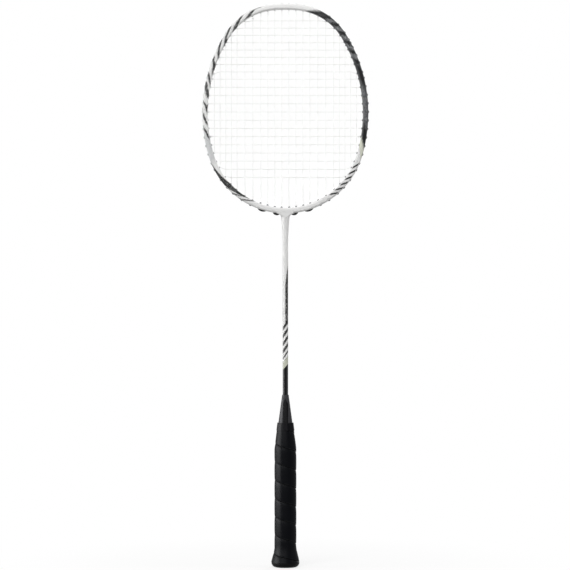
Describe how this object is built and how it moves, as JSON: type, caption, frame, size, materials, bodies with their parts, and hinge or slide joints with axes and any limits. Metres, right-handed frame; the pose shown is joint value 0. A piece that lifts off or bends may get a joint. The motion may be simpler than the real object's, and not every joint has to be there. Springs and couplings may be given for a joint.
{
  "type": "badminton racket",
  "caption": "Badminton racket: hollow oval frame with a woven string bed through grommets, slim tubular shaft, cone, wooden core with butt cap and spirally wrapped grip.",
  "frame": {"origin": "on the handle's axis in the middle of the hand hold, 90 mm above the butt end", "axes": "+Z along the shaft towards the crown of the head, +X across the head, +Y square to the string plane towards the back"},
  "size_m": [0.1998, 0.0334, 0.6754],
  "materials": {
    "frame_lacquer": "lacquered carbon composite, white with black brush strokes on one side and dark on the other",
    "joint_moulding": "moulded composite, bonded inside the throat",
    "shaft_lacquer": "lacquered carbon composite, white above and black below with slanted stripes",
    "cone_gloss": "gloss black moulding",
    "core_wood": "bare light wood",
    "cap_plastic": "satin black moulding",
    "grip_tape": "matt black synthetic tape, lightly grained and perforated",
    "end_tape": "black vinyl adhesive tape",
    "string_nylon": "white nylon string",
    "grommet_clear": "pale grey nylon",
    "grommet_black": "black nylon"
  },
  "bodies": {
    "root": {"head_frame": "frame_lacquer", "t_joint": "joint_moulding", "shaft": "shaft_lacquer", "cone_cap": "cone_gloss", "handle_core": "core_wood", "butt_cap": "cap_plastic", "grip_wrap": "grip_tape", "finishing_tape": "end_tape", "main_string": "string_nylon", "cross_string": "string_nylon", "main_knots": "string_nylon", "cross_knots": "string_nylon", "crown_grommets": "grommet_clear", "left_upper_grommets": "grommet_clear", "right_upper_grommets": "grommet_black", "left_lower_grommets": "grommet_clear", "right_lower_grommets": "grommet_black", "neck_grommets": "grommet_black", "throat_grommets": "grommet_black", "tie_off_grommets": "grommet_black"}
  },
  "joints": []
}
